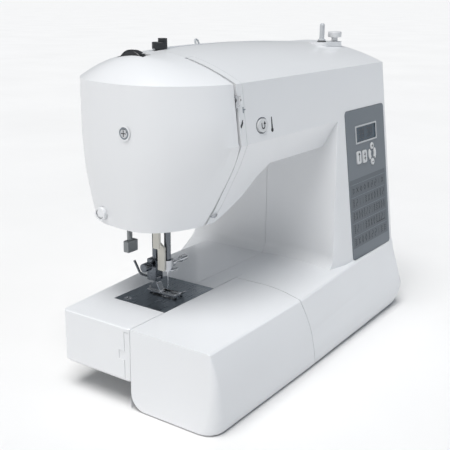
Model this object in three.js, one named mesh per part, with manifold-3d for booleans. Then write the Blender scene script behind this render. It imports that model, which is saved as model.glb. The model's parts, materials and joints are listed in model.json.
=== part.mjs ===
// Free-arm domestic sewing machine with an electronic stitch panel, in millimetres, +Z up.
// Machine axes used below: X runs from the free arm's left end to the handwheel, Y from the
// operator to the back with Y = 0 on the free arm's front wall, and Z up from the table.
// The exported group moves all of it so that the origin is below the centre of the whole object.
import * as THREE from 'three';
import { mergeVertices } from 'three/addons/utils/BufferGeometryUtils.js';
import { ConvexGeometry } from 'three/addons/geometries/ConvexGeometry.js';
import Module from 'manifold-3d';

const wasm = await Module();
wasm.setup();

// ---------------------------------------------------------------- driving dimensions
const bodyRight = 372; // right end of the covers
const wheelProud = 20; // handwheel past the covers
const baseFront = -88; // widest line of the base, at the front
const bodyBack = 118; // rear of the pillar and base
const bedTop = 72.8; // sewing surface above the table
const armUnder = 24.3; // underside of the free arm
const throatTop = 192; // underside of the upper arm
const headBottom = 145; // lower rim of the head
const creaseLow = 218; // crease where the arm's front turns inwards
const creaseTop = 268; // edge between the front and the crowned top
const crownRise = 23; // height of the crown above that edge
const wall = 2.8; // moulded covers
const fit = 0.3; // gap between touching pieces
const pillarInner = 242; // throat side of the pillar
const baseLeft = 165; // where the base block ends under the free arm
const armBackLeft = 77; // free arm depth at its left end
const armBackRight = 95; // free arm depth at the pillar
const seamY = 21; // split between front and rear covers
const needleX = 80;
const needleY = 24;
const presserY = 38; // presser bar behind the needle bar
const shaftZ = 232; // main shaft height
const shaftRadius = 5;
const crankRadius = 14.75; // half of the needle bar stroke
const linkLength = 40;
const barRadius = 3; // needle bar and presser bar
const hookZ = 46; // hook axis height
const raceRadius = 18.3;
const hookRadius = 15.8;
const bobbinRadius = 10.2;
const lowerShaftY = 52;
const lowerShaftZ = 45;
const motorY = -12;
const motorZ = 112;
const motorRadius = 26;
const beltX = 345; // middle of the timing belt
const beltWidth = 8;
const wheelRadius = 36;
const plateX0 = 45.3; // needle plate
const plateX1 = 118.1;
const plateDepth = 58;
const plateThick = 2.5;
const slotLeft = 81.3; // thread slot beside the face cover
const slotWidth = 3;
const channelWidth = 8.4;
const panelX0 = 270;
const panelX1 = 361;
const panelZ0 = 72;
const panelZ1 = 225;
const panelThick = 2.2;
const panelProud = 0.5;
const lean = Math.atan(0.125); // front face of the pillar leans back
const skirtGap = 1.2; // lower edge of the covers above the table
const trayZ = 2.5; // underside of the base tray, on the rubber feet
const trayThick = 3;

const grooveWidth = 0.7; // moulded lines
const grooveDepth = 0.7;
const farRight = bodyRight + 40; // clear of everything, for cutting boxes
const heelRadius = 14; // lower rear corner of the extension table

// ---------------------------------------------------------------- colours
const white = { color: 0xf1f1f2, roughness: 0.35, metalness: 0 };
const grey = { color: 0x73797f, roughness: 0.5, metalness: 0 };
const lightGrey = { color: 0xc9cccf, roughness: 0.45, metalness: 0 };
const dark = { color: 0x2b2d30, roughness: 0.5, metalness: 0 };
const steel = { color: 0xa9adb2, roughness: 0.3, metalness: 1 };
const blackened = { color: 0x4a4d52, roughness: 0.35, metalness: 1 };
const cast = { color: 0x8d9094, roughness: 0.7, metalness: 0.6 };
const rubber = { color: 0x1d1d1e, roughness: 0.9, metalness: 0 };
const board = { color: 0x1f5a35, roughness: 0.6, metalness: 0 };
const glass = { color: 0x2e4457, roughness: 0.15, metalness: 0 };

// ---------------------------------------------------------------- solids
function solid(geometry) {
  const bare = new THREE.BufferGeometry();
  bare.setAttribute('position', geometry.getAttribute('position'));
  if (geometry.index) bare.setIndex(geometry.index);
  const merged = mergeVertices(bare, 1e-4);
  const at = new Float32Array(merged.attributes.position.array);
  const faces = new Uint32Array(merged.index.array);
  return new wasm.Manifold(new wasm.Mesh({ numProp: 3, vertProperties: at, triVerts: faces }));
}

function join(first, ...rest) {
  return rest.reduce((sum, piece) => sum.add(piece), first);
}

function cut(first, ...rest) {
  return rest.reduce((left, piece) => left.subtract(piece), first);
}

function box(x0, x1, y0, y1, z0, z1) {
  const shape = new THREE.BoxGeometry(x1 - x0, y1 - y0, z1 - z0);
  shape.translate((x0 + x1) / 2, (y0 + y1) / 2, (z0 + z1) / 2);
  return solid(shape);
}

// A cylinder from start to end along one axis: 'x', 'y' or 'z', through the other two places.
function rod(axis, a, b, start, end, radius, sides = 24, endRadius = radius) {
  const shape = new THREE.CylinderGeometry(endRadius, radius, end - start, sides);
  if (axis === 'x') shape.rotateZ(-Math.PI / 2).translate((start + end) / 2, a, b);
  if (axis === 'y') shape.translate(a, (start + end) / 2, b);
  if (axis === 'z') shape.rotateX(Math.PI / 2).translate(a, b, (start + end) / 2);
  return solid(shape);
}

// An outline drawn in the plane across an axis, and extruded along it from start to end.
// Across 'x' it is drawn in (Y, Z), across 'y' in (X, Z) and across 'z' in (X, Y).
function prism(axis, points, start, end, after = new THREE.Matrix4(), curveSegments = 6) {
  const outline = points instanceof THREE.Shape
    ? points
    : new THREE.Shape(points.map(([u, v]) => new THREE.Vector2(u, v)));
  const depth = end - start;
  const shape = new THREE.ExtrudeGeometry(outline, { depth, bevelEnabled: false, curveSegments });
  const place = new THREE.Matrix4();
  if (axis === 'x') place.set(0, 0, 1, start, 1, 0, 0, 0, 0, 1, 0, 0, 0, 0, 0, 1);
  if (axis === 'y') place.set(1, 0, 0, 0, 0, 0, -1, end, 0, 1, 0, 0, 0, 0, 0, 1);
  if (axis === 'z') place.set(1, 0, 0, 0, 0, 1, 0, 0, 0, 0, 1, start, 0, 0, 0, 1);
  return solid(shape.applyMatrix4(place.premultiply(after)));
}

// A closed skin over rings of equal point counts, the lowest ring first, each anticlockwise
// from above.
function loft(rings) {
  const count = rings[0].length;
  const at = rings.flat().flatMap((p) => [p.x, p.y, p.z]);
  const faces = [];
  for (let ring = 0; ring + 1 < rings.length; ring += 1) {
    for (let i = 0; i < count; i += 1) {
      const a = ring * count + i;
      const b = ring * count + ((i + 1) % count);
      faces.push(a, b, b + count, a, b + count, a + count);
    }
  }
  const cap = (ring) => THREE.ShapeUtils.triangulateShape(
    ring.map((p) => new THREE.Vector2(p.x, p.y)),
    [],
  );
  const top = (rings.length - 1) * count;
  cap(rings[0]).forEach(([a, b, c]) => faces.push(c, b, a));
  cap(rings[rings.length - 1]).forEach(([a, b, c]) => faces.push(top + a, top + b, top + c));
  const shape = new THREE.BufferGeometry();
  shape.setAttribute('position', new THREE.Float32BufferAttribute(at, 3));
  shape.setIndex(faces);
  return solid(shape);
}

function lathe(points, sides = 32) {
  const profile = points.map(([radius, height]) => new THREE.Vector2(radius, height));
  return new THREE.LatheGeometry(profile, sides);
}

// A turned piece whose profile heights run along Z, X or Y from a given place.
function turned(axis, a, b, start, points, sides = 32) {
  const shape = lathe(points, sides);
  if (axis === 'x') shape.rotateZ(-Math.PI / 2).translate(start, a, b);
  if (axis === 'y') shape.translate(a, start, b);
  if (axis === 'z') shape.rotateX(Math.PI / 2).translate(a, b, start);
  return solid(shape);
}

function roundedBox(x0, x1, z0, z1, radius) {
  const outline = new THREE.Shape();
  outline.moveTo(x0 + radius, z0);
  outline.lineTo(x1 - radius, z0);
  outline.absarc(x1 - radius, z0 + radius, radius, -Math.PI / 2, 0);
  outline.lineTo(x1, z1 - radius);
  outline.absarc(x1 - radius, z1 - radius, radius, 0, Math.PI / 2);
  outline.lineTo(x0 + radius, z1);
  outline.absarc(x0 + radius, z1 - radius, radius, Math.PI / 2, Math.PI);
  outline.lineTo(x0, z0 + radius);
  outline.absarc(x0 + radius, z0 + radius, radius, Math.PI, 1.5 * Math.PI);
  return outline;
}

// A wire or tube of a round section along a curve.
function tube(points, radius, steps, sides = 8) {
  const section = new THREE.Shape();
  section.absarc(0, 0, radius, 0, 2 * Math.PI);
  const path = new THREE.CatmullRomCurve3(points.map((p) => new THREE.Vector3(...p)));
  const options = { steps, extrudePath: path, curveSegments: sides / 2, bevelEnabled: false };
  return solid(new THREE.ExtrudeGeometry(section, options));
}

// ---------------------------------------------------------------- outer form of the covers
function corner(x, y, radius, from, steps = 4) {
  const points = [];
  for (let i = 0; i <= steps; i += 1) {
    const angle = from + (i / steps) * (Math.PI / 2);
    points.push([x + radius * Math.cos(angle), y + radius * Math.sin(angle)]);
  }
  return points;
}

function bezier(a, b, c, d, steps) {
  const curve = new THREE.CubicBezierCurve(...[a, b, c, d].map((p) => new THREE.Vector2(...p)));
  return curve.getPoints(steps).map((p) => [p.x, p.y]);
}

function frontAt(z) {
  const upper = -45 - (creaseTop - z) * Math.tan(lean);
  return z >= creaseLow ? upper : frontAt(creaseLow) + (creaseLow - z) * 0.49;
}

function pillarFrontAt(z) {
  return -45 - (creaseTop - z) * Math.tan(lean);
}

// Outline of the head and arm at one height, from the front left round to the left end.
function armOutline(z, inset) {
  const low = Math.max(0, (creaseLow - z) / (creaseLow - headBottom));
  const front = Math.min(frontAt(z), -16) + inset;
  const back = bodyBack - 6 - 18 * low * low - inset;
  const left = 22.3 + 9 * low ** 1.3 + inset;
  const right = bodyRight - inset;
  const radius = 7;
  const along = [110, 150, 200, 260, 320];
  const frontLine = [84, ...along].map((x) => [x, front]);
  const backLine = [...along].reverse().map((x) => [x, back]);
  const sweep = 36 - 14 * low;
  return [
    ...frontLine,
    ...corner(right - radius, front + radius, radius, -Math.PI / 2),
    [right, 38],
    ...corner(right - radius, back - radius, radius, 0),
    ...backLine,
    ...bezier([84, back], [50, back - 6], [left, 74], [left, 22], 8),
    ...bezier([left, 22], [left, 22 - sweep], [60, front + 3], [84, front], 8).slice(1, -1),
  ];
}

function riseAt(x) {
  const places = [62, 110, 170, 235, 315, 372];
  const rises = [-2, 1.5, 2.5, 1.5, -2, -5];
  const i = Math.max(1, places.findIndex((place) => x <= place));
  const t = Math.max(0, (x - places[i - 1]) / (places[i] - places[i - 1]));
  return crownRise + rises[i - 1] + t * (rises[i] - rises[i - 1]);
}

function armForm(inset, floor) {
  const heights = [floor, 158, 172, 188, creaseLow, 243, creaseTop - inset * 0.6];
  const rings = heights.map((z) => armOutline(z, inset).map(([x, y]) => new THREE.Vector3(x, y, z)));
  const edge = armOutline(creaseTop, inset);
  const right = bodyRight - inset;
  for (const t of [0.07, 0.18, 0.32, 0.48, 0.65, 0.82, 0.95]) {
    rings.push(edge.map(([x, y]) => {
      const ridge = Math.min(right, Math.max(62, x));
      const gain = (riseAt(ridge) - inset * 0.4) * (1 - (1 - t) ** 1.83);
      return new THREE.Vector3(x + (ridge - x) * t, y + (38 - y) * t, creaseTop - inset * 0.6 + gain);
    }));
  }
  return loft(rings);
}

// Opening between head, arm, pillar and bed, grown by a margin.
function throat(margin) {
  const outline = [
    [-20, 60], [pillarInner + 40, 60], [pillarInner + 40, throatTop + margin],
    [150 - margin, throatTop + margin], [137 - margin, 181 + margin], [126 - margin, 164 + margin],
    [114 - margin, 155 + margin], [106 - margin, 150 + margin], [96 - margin, headBottom + margin],
    [96 - margin, headBottom - 0.01], [-20, headBottom - 0.01],
  ];
  return prism('y', outline, -130, bodyBack + 30);
}

function pillarOutline(z, inset) {
  const t = Math.min(1, Math.max(0, (z - bedTop) / (creaseLow - bedTop)));
  const flare = 6 * Math.max(0, 1 - (z - bedTop) / 11) ** 2 - inset;
  const front = pillarFrontAt(Math.max(z, bedTop)) + inset;
  const back = bodyBack - 6 * t - inset;
  const right = bodyRight - inset;
  const inner = pillarInner - flare;
  const edge = [234 + 21 * t - flare, -64 + 12.7 * t + inset * 0.6];
  return [
    ...bezier([inner, seamY], [inner + 4, 0], [246 + 3 * t - flare, -45 + 12 * t], edge, 6),
    [254 + 1.6 * t + inset * 1.4, front],
    ...corner(right - 7, front + 7, 7, -Math.PI / 2),
    ...corner(right - 8, back - 8, 8, 0),
    ...corner(inner + 6, back - 6, 6, Math.PI / 2),
  ];
}

function pillarForm(inset, floor) {
  const heights = [floor, bedTop, 75, 79, 84, 130, 175, creaseLow];
  return loft(heights.map((z) => pillarOutline(z, inset).map(([x, y]) => new THREE.Vector3(x, y, z))));
}

// Front line of the base at the left and at the right, by height.
const baseProfile = [
  [0, -83.5, -78], [2.5, -85.6, -82], [8, -87, -85], [17, -87.8, -87.4], [26, baseFront, -87.8],
  [37, baseFront, -83], [48, -87, -78.4], [60, -84.6, -73], [68, -82.4, -70.6],
  [71.8, -81.2, -69.6], [bedTop, -79.6, -68.4],
];

function baseOutline([z, frontLeft, frontRight], inset, back, backLeft) {
  const depth = 1 - z / bedTop;
  const roundLeft = 1.5 + 13 * depth - inset * 0.5;
  const roundRight = 4 + 20 * depth - inset * 0.5;
  const left = inset;
  const right = bodyRight - inset;
  return [
    ...corner(left + roundLeft, frontLeft + inset + roundLeft, roundLeft, Math.PI),
    [150, frontLeft + inset],
    ...corner(right - roundRight, frontRight + inset + roundRight, roundRight, -Math.PI / 2),
    ...back,
    ...backLeft,
  ];
}

function baseForm(inset, floor) {
  const back = corner(bodyRight - inset - 10, bodyBack - inset - 10, 10, 0);
  const inner = pillarInner + inset;
  const backLeft = [
    ...corner(inner, bodyBack - inset - 6, 6, Math.PI / 2),
    [inner - 6, armBackRight - inset], [inset, armBackRight - inset],
  ];
  const rings = baseProfile.filter(([z]) => z >= floor && z <= bedTop - (inset ? wall : 0));
  if (inset) rings.unshift([-1, ...baseProfile[0].slice(1)]);
  if (inset) rings.push([bedTop - inset, -82.4, -70.6]);
  return loft(rings.map((ring) => baseOutline(ring, inset, back, backLeft)
    .map(([x, y]) => new THREE.Vector3(x, y, ring[0]))));
}

function freeArmForm(inset, floor) {
  const slope = (armBackRight - armBackLeft) / pillarInner;
  const outline = (grow) => {
    const near = inset + grow;
    const far = baseLeft + 20;
    return [
      ...corner(near + 3, near + 3, 3, Math.PI, 2),
      [far, near], [far, armBackLeft + far * slope - near],
      ...corner(near + 4, armBackLeft - near - 4, 4, Math.PI / 2, 3),
    ];
  };
  const levels = inset
    ? [[floor, 0], [bedTop - inset, 0]]
    : [[armUnder, 1.6], [armUnder + 2.4, 0], [bedTop - 0.8, 0], [bedTop, 0.8]];
  return loft(levels.map(([z, grow]) => outline(grow).map(([x, y]) => new THREE.Vector3(x, y, z))));
}

// Everything left of the seam between the extension table and the base, in front of the arm.
function seamAt(y, z) {
  const t = Math.min(1, Math.max(0, (-34 - y) / 48));
  return 155 - 16 * t ** 1.5 + 0.34 * (bedTop - z);
}

function tableRegion(shift, back) {
  const places = [-110, -96, -82, -74, -66, -58, -50, -42, -34, back];
  const ring = (z) => [
    new THREE.Vector3(-20, back, z), new THREE.Vector3(-20, -110, z),
    ...places.map((y) => new THREE.Vector3(seamAt(y, z) + shift, y, z)),
  ];
  return loft([ring(-5), ring(bedTop + 5)]);
}

const handleRecess = { x0: 126, x1: 290, y0: 76, y1: 140, z: 271 };
const spoolRecess = { x0: 297, x1: 361, y0: 74, y1: 108, z: 266 };

function topRecesses(margin) {
  return [handleRecess, spoolRecess].map((r) => box(
    r.x0 - margin, r.x1 + margin, r.y0 - margin, r.y1 + margin, r.z - margin, 310,
  ));
}

function outerForm() {
  const arm = cut(armForm(0, headBottom), throat(0));
  const under = box(-5, baseLeft, 0.01, 150, -5, armUnder);
  const behind = box(-5, baseLeft, 0.01, 150, -5, 100);
  const base = cut(baseForm(0, 0), behind);
  const arms = join(arm, pillarForm(0, 60), base, cut(freeArmForm(0, armUnder), under));
  return cut(arms, ...topRecesses(0), box(-20, farRight, -120, 160, -10, skirtGap));
}

function innerForm() {
  const arm = cut(armForm(wall, headBottom - 4), cut(throat(wall), box(-30, 96, -140, 160, 0, 160)));
  const behind = box(-5, baseLeft + wall, -0.01 - wall, 150, -5, 100);
  const base = cut(baseForm(wall, 0), behind);
  const body = join(arm, pillarForm(wall, 60), base, freeArmForm(wall, armUnder - 2));
  return cut(body, ...topRecesses(wall));
}

// ---------------------------------------------------------------- regions of the cover set
// The thread slot below its straight length: how far right of slotLeft its left edge is, its
// width as a share of slotWidth, and the height.
const slotCurve = new THREE.CatmullRomCurve3([
  [0, 1, 221], [1.9, 0.7, 214], [4.5, 0.4, 206.5], [6.3, 0.35, 196], [6.1, 0.4, 186],
  [4.8, 0.7, 173.5], [3.3, 1.1, 160], [0.7, 1.1, 150], [-2.8, 1.1, 142],
].map((place) => new THREE.Vector3(...place)));

// Everything left of the slot's left edge (widths 0) or right edge (widths 1), moved by a shift.
function leftOf(widths, shift, y0, y1) {
  const edge = slotCurve.getPoints(16).map((place) => (
    [slotLeft + place.x + widths * slotWidth * place.y + shift, place.z]
  ));
  const top = [slotLeft + widths * slotWidth + shift, 310];
  return prism('y', [[-20, 310], top, ...edge, [-20, 142]].reverse(), y0, y1);
}

const slotEnd = 5; // how far back the thread slots run over the top

function faceRegion(shift) {
  return join(
    leftOf(0, shift, -100, slotEnd),
    box(-20, slotLeft + slotWidth + shift, slotEnd - 0.01, 160, 130, 310),
  );
}

function frontRegion(shift) {
  const profile = [
    [-130, -5], [seamY + shift, -5], [seamY + shift, 246], [70 + shift, 272], [70 + shift, 310],
    [-130, 310],
  ];
  return cut(
    prism('x', profile, -20, bodyRight + 20),
    box(-30, plateX1 + fit - shift, -140, 160, -6, 100),
  );
}

function mesh(name, shape, finish) {
  const geometry = new THREE.BufferGeometry();
  const data = shape.getMesh();
  geometry.setAttribute('position', new THREE.BufferAttribute(data.vertProperties, 3));
  geometry.setIndex(new THREE.BufferAttribute(data.triVerts, 1));
  geometry.computeVertexNormals();
  const piece = new THREE.Mesh(geometry, new THREE.MeshStandardMaterial(finish));
  piece.name = name;
  return piece;
}

const outer = outerForm();
const shell = cut(outer, innerForm());

// ---------------------------------------------------------------- places shared by pieces
// Space in the free arm's front wall that the hinged shuttle cover fills.
const shuttle = { x0: 3.2, x1: 104, z0: 30, z1: 68 };
const tension = { x: 60, y: 41.5, z: 277.9, radius: 14.2, thick: 9 };
const knob = { x: 92, y: 40, radius: 6.5, base: 291.6, height: 5.4 };
const winder = { x: 340, y: 16, top: 288, travel: 3, along: new THREE.Vector2(0.905, -0.426) };
const pad = { x0: 322, x1: 366, y0: 2, y1: 50, z0: 277 };
const lifter = { x: 100, y0: 43, y1: 50, z: 168, length: 36 };
const cutter = { y: 57, z: 155, radius: 5.6 };
const inlet = { y0: 40, y1: 64, z0: 30, z1: 52 };
const rocker = { y0: 72, y1: 88, z0: 33, z1: 49 };
const frameY = 60; // front face of the cast frame's web
const frameThick = 8;
const beltX0 = beltX - beltWidth / 2;
const beltX1 = beltX + beltWidth / 2;
const linkX0 = 86; // connecting link's plane
const linkX1 = 91.3;
const crankX0 = 95;
const crankX1 = 103;
const crankTurn = -10 * (Math.PI / 180); // crank pin at rest, from straight back
const pinY = needleY + crankRadius * Math.cos(crankTurn);
const pinZ = shaftZ + crankRadius * Math.sin(crankTurn);
const blockZ = pinZ - Math.sqrt(linkLength ** 2 - (pinY - needleY) ** 2); // on the needle bar
const blockHeight = 8;

// Moves a shape drawn upright at the origin onto the leaning front face: X stays, local Y goes
// into the machine and local Z climbs the face from the panel's lower edge.
const face = new THREE.Matrix4()
  .makeTranslation(0, pillarFrontAt(panelZ0), panelZ0)
  .multiply(new THREE.Matrix4().makeRotationX(-lean));

function climb(z) {
  return (z - panelZ0) / Math.cos(lean);
}

function onFace(outline, y0, y1, curveSegments) {
  return prism('y', outline, y0, y1, face, curveSegments);
}

function disc(x, z, radius) {
  const outline = new THREE.Shape();
  outline.absarc(x, climb(z), radius, 0, 2 * Math.PI);
  return outline;
}

// ---------------------------------------------------------------- covers
function faceCover() {
  const region = box(-30, 200, -140, 160, headBottom - 1, 310).intersect(faceRegion(0));
  const t = tension;
  const halfSlot = t.thick / 2 + 1;
  const reach = t.radius + 0.6;
  const dialSlot = box(t.x - halfSlot, t.x + halfSlot, t.y - reach, t.y + reach, t.z - 4, 310);
  return cut(shell.intersect(region), dialSlot, cutterForm(fit));
}

function threadChannel() {
  const right = leftOf(1, channelWidth, -100, slotEnd);
  const strip = cut(right, leftOf(1, 0, -101, slotEnd + 1));
  return shell.intersect(strip.intersect(box(0, 200, -140, slotEnd, headBottom - 1, 310)));
}

function cutterForm(margin) {
  const c = cutter;
  return rod('x', c.y, c.z, 29 - margin, 42 + margin, c.radius + margin, 24);
}

// The cutter has a curved slot in its outer end, where the thread is drawn over the blade.
function threadCutter() {
  const c = cutter;
  const groove = cut(
    rod('x', c.y, c.z, 20, 37, c.radius - 1.3, 20),
    rod('x', c.y - 1.2, c.z + 1, 19, 38, c.radius - 1.7, 20),
  );
  return cut(cutterForm(0), groove);
}

function panelOutline(margin) {
  const m = margin;
  const base = climb(panelZ0);
  return roundedBox(panelX0 - m, panelX1 + m, base - m, climb(panelZ1) + m, 4 + m);
}

function shaftHole(radius) {
  return rod('x', needleY, shaftZ, bodyRight - 8, bodyRight + 4, radius, 32);
}

function padOutline(margin) {
  const p = pad;
  return roundedBox(p.x0 - margin, p.x1 + margin, p.y0 - margin, p.y1 + margin, 8 + margin);
}

function frontCover() {
  const k = keyOpening;
  return cut(
    shell.intersect(frontRegion(-fit / 2)),
    leftOf(1, channelWidth + fit, -100, slotEnd + fit),
    faceRegion(fit),
    tableRegion(fit, -0.01),
    onFace(panelOutline(fit), -3, panelThick - panelProud + fit),
    onFace(roundedBox(k.x0, k.x1, climb(k.z0), climb(k.z1), 4), -3, 8),
    onFace(reverseOutline(fit + 0.1), -4, 8, 12),
    prism('z', padOutline(fit), pad.z0 - 1, 310),
    rod('z', knob.x, knob.y, 270, 300, 4.5, 20),
    shaftHole(9),
  );
}

function plateSpace(margin) {
  return box(plateX0 - margin, plateX1 + margin, -2, plateDepth + margin, 60, bedTop + 5);
}

function rearCover() {
  const s = shuttle;
  const swing = rod('y', lifter.x, lifter.z, lifter.y0 - 2, lifter.y1 + 6, lifter.length + 9, 32);
  const slot = cut(swing, box(0, lifter.x, -100, 200, 0, 400), box(0, 300, 0, 100, 0, lifter.z - 30));
  return cut(
    shell.intersect(box(-20, farRight, -0.01, 160, -5, 310)),
    frontRegion(fit / 2),
    faceRegion(fit),
    leftOf(1, channelWidth + fit, -100, slotEnd + fit),
    ...handlePinHoles(),
    ...endGrooves(),
    plateSpace(fit).intersect(box(0, 200, -5, 100, bedTop - wall - 1, 80)),
    box(s.x0 - fit, s.x1 + fit, -2, wall + 0.2, s.z0 - fit, s.z1 + fit),
    box(lifter.x + 4, 152, lifter.y0 - 2, lifter.y1 + 2, 143, 206),
    rod('z', knob.x, knob.y, 270, 300, 4.5, 20),
    shaftHole(9),
    sideHole(inlet),
    sideHole(rocker),
  );
}

// Moulded line and finger recess beside the shuttle cover, in the free arm's left end.
function endGrooves() {
  const { z0, z1 } = shuttle;
  return [
    box(-1, grooveDepth, 5.8, 5.8 + grooveWidth, z0 - 3, z1 + 1.4),
    box(-1, grooveDepth, -1, 5.8 + grooveWidth, z1 + 1.4 - grooveWidth, z1 + 1.4),
    box(-1, grooveDepth, 5.8, 12.5, 44, 52),
  ];
}

// Opening in the right end wall for a fitting.
function sideHole({ y0, y1, z0, z1 }) {
  return box(bodyRight - 6, bodyRight + 5, y0 - fit, y1 + fit, z0 - fit, z1 + fit);
}

function shuttleCover() {
  const s = shuttle;
  const inWall = cut(freeArmForm(0, armUnder), box(-20, farRight, wall, 200, -5, 100));
  return inWall.intersect(box(s.x0, s.x1, -5, wall, s.z0, s.z1));
}

function needlePlate() {
  const x = needleX;
  const y = needleY;
  const feedSlots = [
    box(x - 5.8, x - 2.6, y - 13.3, y + 17.3, 60, 80),
    box(x + 2.6, x + 5.8, y - 13.3, y + 17.3, 60, 80),
    box(x - 1.4, x + 1.4, y + 4, y + 17.3, 60, 80),
  ];
  const plate = box(plateX0, plateX1, 0, plateDepth, bedTop - plateThick, bedTop);
  return cut(plate, ...feedSlots, needleSlot());
}

function needleSlot() {
  return box(needleX - 2.2, needleX + 2.2, needleY - 1.4, needleY + 1.4, 60, 80);
}

function extensionTable() {
  const region = tableRegion(-fit / 2, -fit);
  const inside = tableRegion(20, 20).intersect(box(-10, farRight, -120, 20, 2 + wall, 100));
  const body = cut(baseForm(0, 0).intersect(region), box(-20, farRight, -120, 160, -10, skirtGap));
  const feet = [40, 120].map((x) => rod('z', x, -60, 0, 3, 6, 16));
  const r = heelRadius;
  const heel = cut(
    box(-20, farRight, -fit - r, 1, -5, skirtGap + r),
    rod('x', -fit - r, skirtGap + r, -25, farRight + 5, r, 40),
  );
  return cut(join(cut(body, baseForm(wall, 0).intersect(inside)), ...feet), heel);
}

function armBottomCover() {
  const form = freeArmForm(wall + fit, armUnder - 1);
  return form.intersect(box(0, baseLeft - fit, 0, 150, armUnder, armUnder + 2.4));
}

function baseTray() {
  const form = cut(
    baseForm(wall + fit, 0),
    box(-5, baseLeft + wall + fit, -0.01, 150, -5, 100),
    tableRegion(wall + fit, 20).intersect(box(-20, farRight, -120, 0.5, -5, 100)),
  );
  return form.intersect(box(0, farRight, -120, 150, trayZ, trayZ + trayThick));
}

function winderPad() {
  const p = pad;
  const w = winder;
  const body = prism('z', padOutline(0), p.z0, w.top);
  const hollow = box(p.x0 + 2.5, p.x1 - 2.5, p.y0 + 2.5, p.y1 - 2.5, p.z0 - 1, w.top - 2.5);
  return cut(body, hollow, capsule(w.x, w.y, 5.4, w.travel, 270, 300));
}

// A slot with round ends along the winder's travel.
function capsule(x, y, radius, travel, z0, z1) {
  const points = [];
  for (const far of [0, travel]) {
    for (let i = 0; i < 20; i += 1) {
      const angle = (i / 20) * 2 * Math.PI;
      const px = x + winder.along.x * far + radius * Math.cos(angle);
      const py = y + winder.along.y * far + radius * Math.sin(angle);
      points.push(new THREE.Vector3(px, py, z0), new THREE.Vector3(px, py, z1));
    }
  }
  return solid(new ConvexGeometry(points));
}

function carryHandle() {
  const r = handleRecess;
  const pivot = handlePivot;
  const bar = roundedBox(r.x0 + 4, r.x1 - 4, pivot.y - 24, pivot.y + 1.6, 4);
  const gap = roundedBox(r.x0 + 11, r.x1 - 11, pivot.y - 14, pivot.y + 12, 5);
  const grip = cut(prism('z', bar, r.z + 0.6, r.z + 7.6), prism('z', gap, r.z - 1, r.z + 10));
  const pin = rod('x', pivot.y, pivot.z, r.x0 - pinDepth, r.x0 + 8, handlePin, 16);
  const otherPin = rod('x', pivot.y, pivot.z, r.x1 - 8, r.x1 + pinDepth, handlePin, 16);
  return join(grip, pin, otherPin);
}

// Bores in the recess's end walls that carry the handle's pins.
function handlePinHoles() {
  const { y, z } = handlePivot;
  const r = handleRecess;
  return [r.x0, r.x1].map((x) => rod('x', y, z, x - wall - 1, x + wall + 1, handlePin + fit, 16));
}

// ---------------------------------------------------------------- frame and drive
function castFrame() {
  const y0 = frameY;
  const y1 = frameY + frameThick;
  const lug = (x0, x1, from, z0, z1) => box(x0, x1, from, y0 + 1, z0, z1);
  const web = join(
    box(70, 352, y0, y1, 212, 256),
    box(285, 335, y0, y1, trayZ + trayThick + fit, 256),
    box(30, 335, y0, y1, 33, 62),
    box(79, 96, y0, y1, 150, 256),
    box(90, 110, y0, y1, 160, 256),
    box(270, 352, 20, 105, trayZ + trayThick + fit, trayZ + trayThick + 8),
  );
  const lugs = join(
    box(73.5, 85.7, 17, 44, 150, 157),
    lug(79, 85.7, 40, 150, 157),
    box(73.5, 85.7, 17, 44, 236, 242),
    lug(79, 85.7, 40, 236, 242),
    lug(120, 128, 12, 221, 243),
    lug(322, 330, 12, 221, 243),
    lug(112, 120, 44, 36, 54),
    lug(322, 330, 44, 36, 54),
    lug(66, 94, 35, 34, 58),
    lug(290, 306, motorY + motorRadius - 1, motorZ - 12, motorZ + 12),
    lug(96, 104, 52, 158, 178),
  );
  return cut(
    join(web, lugs),
    rod('z', needleX, needleY, 140, 260, barRadius + fit, 20),
    rod('z', needleX, presserY, 140, 260, barRadius + fit, 20),
    rod('x', needleY, shaftZ, 115, 335, shaftRadius + fit, 24),
    rod('x', lowerShaftY, lowerShaftZ, 105, 332, 4.4, 24),
    rod('y', needleX, hookZ, 30, 56, 4.5, 20),
    rod('x', motorY, motorZ, 262 - fit, 336, motorRadius + fit, 32),
  );
}

function pulley(y, z, radius) {
  return turned('x', y, z, beltX0 - 1.2, [
    [0, 0], [radius + 2.4, 0], [radius + 2.4, 1], [radius, 1.2], [radius, beltWidth + 1.2],
    [radius + 2.4, beltWidth + 1.4], [radius + 2.4, beltWidth + 2.4], [0, beltWidth + 2.4],
  ], 20);
}

const pulleys = [
  { y: needleY, z: shaftZ, radius: 17 },
  { y: lowerShaftY, z: lowerShaftZ, radius: 17 },
  { y: motorY, z: motorZ, radius: 8 },
];

function timingBelt() {
  const around = (grow, x0, x1) => {
    const points = [];
    for (const p of pulleys) {
      for (let i = 0; i < 20; i += 1) {
        const angle = (i / 20) * 2 * Math.PI;
        const y = p.y + (p.radius + grow) * Math.cos(angle);
        const z = p.z + (p.radius + grow) * Math.sin(angle);
        points.push(new THREE.Vector3(x0, y, z), new THREE.Vector3(x1, y, z));
      }
    }
    return solid(new ConvexGeometry(points));
  };
  const inside = around(0.45, beltX0 - 2, beltX1 + 2);
  return cut(around(2, beltX0 + 0.4, beltX1 - 0.4), inside);
}

function mainShaft() {
  const shaft = rod('x', needleY, shaftZ, crankX1 + fit, bodyRight + 8, shaftRadius, 24);
  return join(shaft, pulley(needleY, shaftZ, pulleys[0].radius));
}

function lowerShaft() {
  const shaft = rod('x', lowerShaftY, lowerShaftZ, 104, beltX1 + 5, 4, 20);
  return join(shaft, pulley(lowerShaftY, lowerShaftZ, pulleys[1].radius));
}

function motorPulley() {
  const stub = rod('x', motorY, motorZ, 336 + fit + 0.6, beltX1 + 3, 3, 16);
  return join(stub, pulley(motorY, motorZ, pulleys[2].radius));
}

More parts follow.
